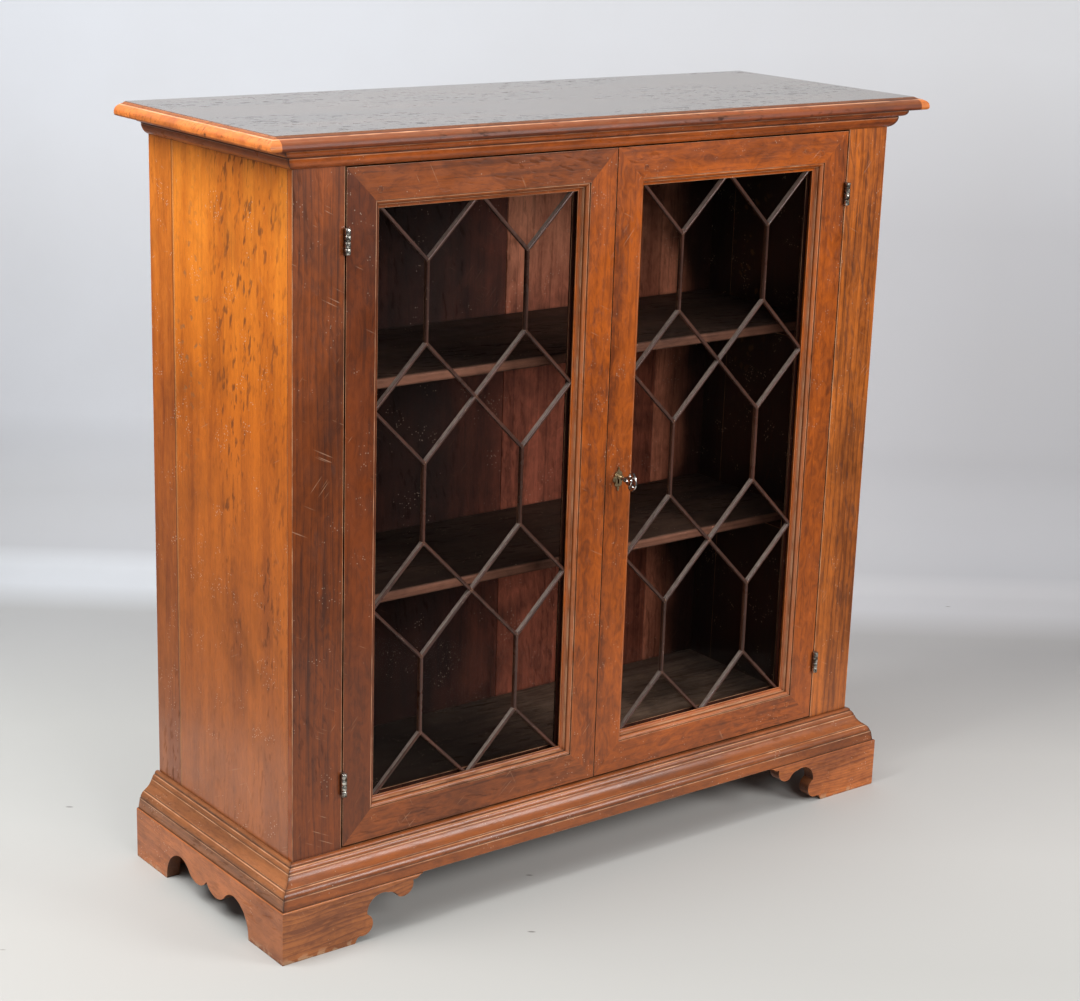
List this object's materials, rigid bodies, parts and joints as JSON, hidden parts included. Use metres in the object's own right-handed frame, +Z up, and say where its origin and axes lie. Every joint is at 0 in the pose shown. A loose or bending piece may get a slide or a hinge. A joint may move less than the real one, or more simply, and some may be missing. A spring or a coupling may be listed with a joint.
{
  "type": "glazed bookcase",
  "caption": "Low hardwood bookcase on bracket feet with a moulded top and base and glazed doors whose thin bars make a lattice of long hexagons and diamonds.",
  "frame": {"origin": "on the floor, in the middle of the plan of the base", "axes": "+X to the right as seen by someone facing the doors, +Y to the back, +Z up"},
  "size_m": [1.12, 0.409, 1.086],
  "materials": {
    "wood_top": "old polish, dull and scratched",
    "wood_side": "old polish, satin, stained",
    "wood_carcass": "old polish, satin",
    "wood_moulding": "polished, worn on the arrises",
    "wood_foot": "satin, scuffed at the floor",
    "wood_door": "old polish, satin, dented",
    "wood_bars": "worn and greyed",
    "wood_interior": "matt, dark stained",
    "glass": "clear sheet glass",
    "aged_brass": "tarnished and rubbed",
    "key_steel": "nickelled steel, worn",
    "iron": "dark, dull"
  },
  "bodies": {
    "carcass": {"top_board": "wood_top", "cornice_front": "wood_moulding", "cornice_left": "wood_moulding", "cornice_right": "wood_moulding", "left_side_front_plank": "wood_side", "left_side_rear_plank": "wood_side", "right_side_front_plank": "wood_side", "right_side_rear_plank": "wood_side", "face_stile_left": "wood_carcass", "face_stile_right": "wood_carcass", "top_rail": "wood_carcass", "bottom_rail": "wood_carcass", "bottom_board": "wood_interior", "door_stop_bottom": "wood_interior", "door_stop_top": "wood_interior", "rear_top_cleat": "wood_interior", "back_board_1": "wood_interior", "back_board_2": "wood_interior", "back_board_3": "wood_interior", "back_board_4": "wood_interior", "shelf_upper": "wood_interior", "shelf_lower": "wood_interior", "shelf_cleats": "wood_interior", "base_moulding_front": "wood_moulding", "base_moulding_left": "wood_moulding", "base_moulding_right": "wood_moulding", "front_foot_left": "wood_foot", "front_foot_right": "wood_foot", "side_apron_left": "wood_foot", "side_apron_right": "wood_foot", "rear_foot_left": "wood_interior", "rear_foot_right": "wood_interior", "glue_blocks": "wood_interior", "hinge_frame_leaves": "aged_brass", "hinge_pins": "aged_brass"},
    "left_door": {"left_hinge_stile": "wood_door", "left_meeting_stile": "wood_door", "left_top_rail": "wood_door", "left_bottom_rail": "wood_door", "left_glazing_bars": "wood_bars", "left_glass": "glass", "left_glazing_beads": "wood_door", "left_door_pegs": "wood_door", "left_hinge_door_leaves": "aged_brass", "flush_bolt_plates": "aged_brass"},
    "right_door": {"right_hinge_stile": "wood_door", "right_meeting_stile": "wood_door", "right_top_rail": "wood_door", "right_bottom_rail": "wood_door", "right_glazing_bars": "wood_bars", "right_glass": "glass", "right_glazing_beads": "wood_door", "right_door_pegs": "wood_door", "right_hinge_door_leaves": "aged_brass", "lock_case": "iron", "escutcheon": "aged_brass"},
    "key": {"key": "key_steel"},
    "lock_bolt": {"lock_bolt": "iron"},
    "flush_bolt_top": {"flush_bolt_top": "iron"},
    "flush_bolt_bottom": {"flush_bolt_bottom": "iron"}
  },
  "joints": [
    {"name": "left_door_hinge", "type": "hinge", "parent": "carcass", "child": "left_door", "pos_m": [-0.432, -0.171, 0.584], "axis": [0, 0, -1], "range_deg": [0, 165]},
    {"name": "right_door_hinge", "type": "hinge", "parent": "carcass", "child": "right_door", "pos_m": [0.432, -0.171, 0.584], "axis": [0, 0, 1], "range_deg": [0, 165]},
    {"name": "key_turn", "type": "hinge", "parent": "right_door", "child": "key", "pos_m": [0.0227, -0.1665, 0.5773], "axis": [0, 1, 0], "range_deg": [0, 360]},
    {"name": "lock_bolt_slide", "type": "slide", "parent": "right_door", "child": "lock_bolt", "axis": [-1, 0, 0], "range_m": [0, 0.008]},
    {"name": "flush_bolt_top_slide", "type": "slide", "parent": "left_door", "child": "flush_bolt_top", "axis": [0, 0, 1], "range_m": [0, 0.012]},
    {"name": "flush_bolt_bottom_slide", "type": "slide", "parent": "left_door", "child": "flush_bolt_bottom", "axis": [0, 0, -1], "range_m": [0, 0.012]}
  ],
  "couplings": [
    {"joint": "lock_bolt_slide", "follows": "key_turn", "m_per_rad": 0.00127}
  ]
}
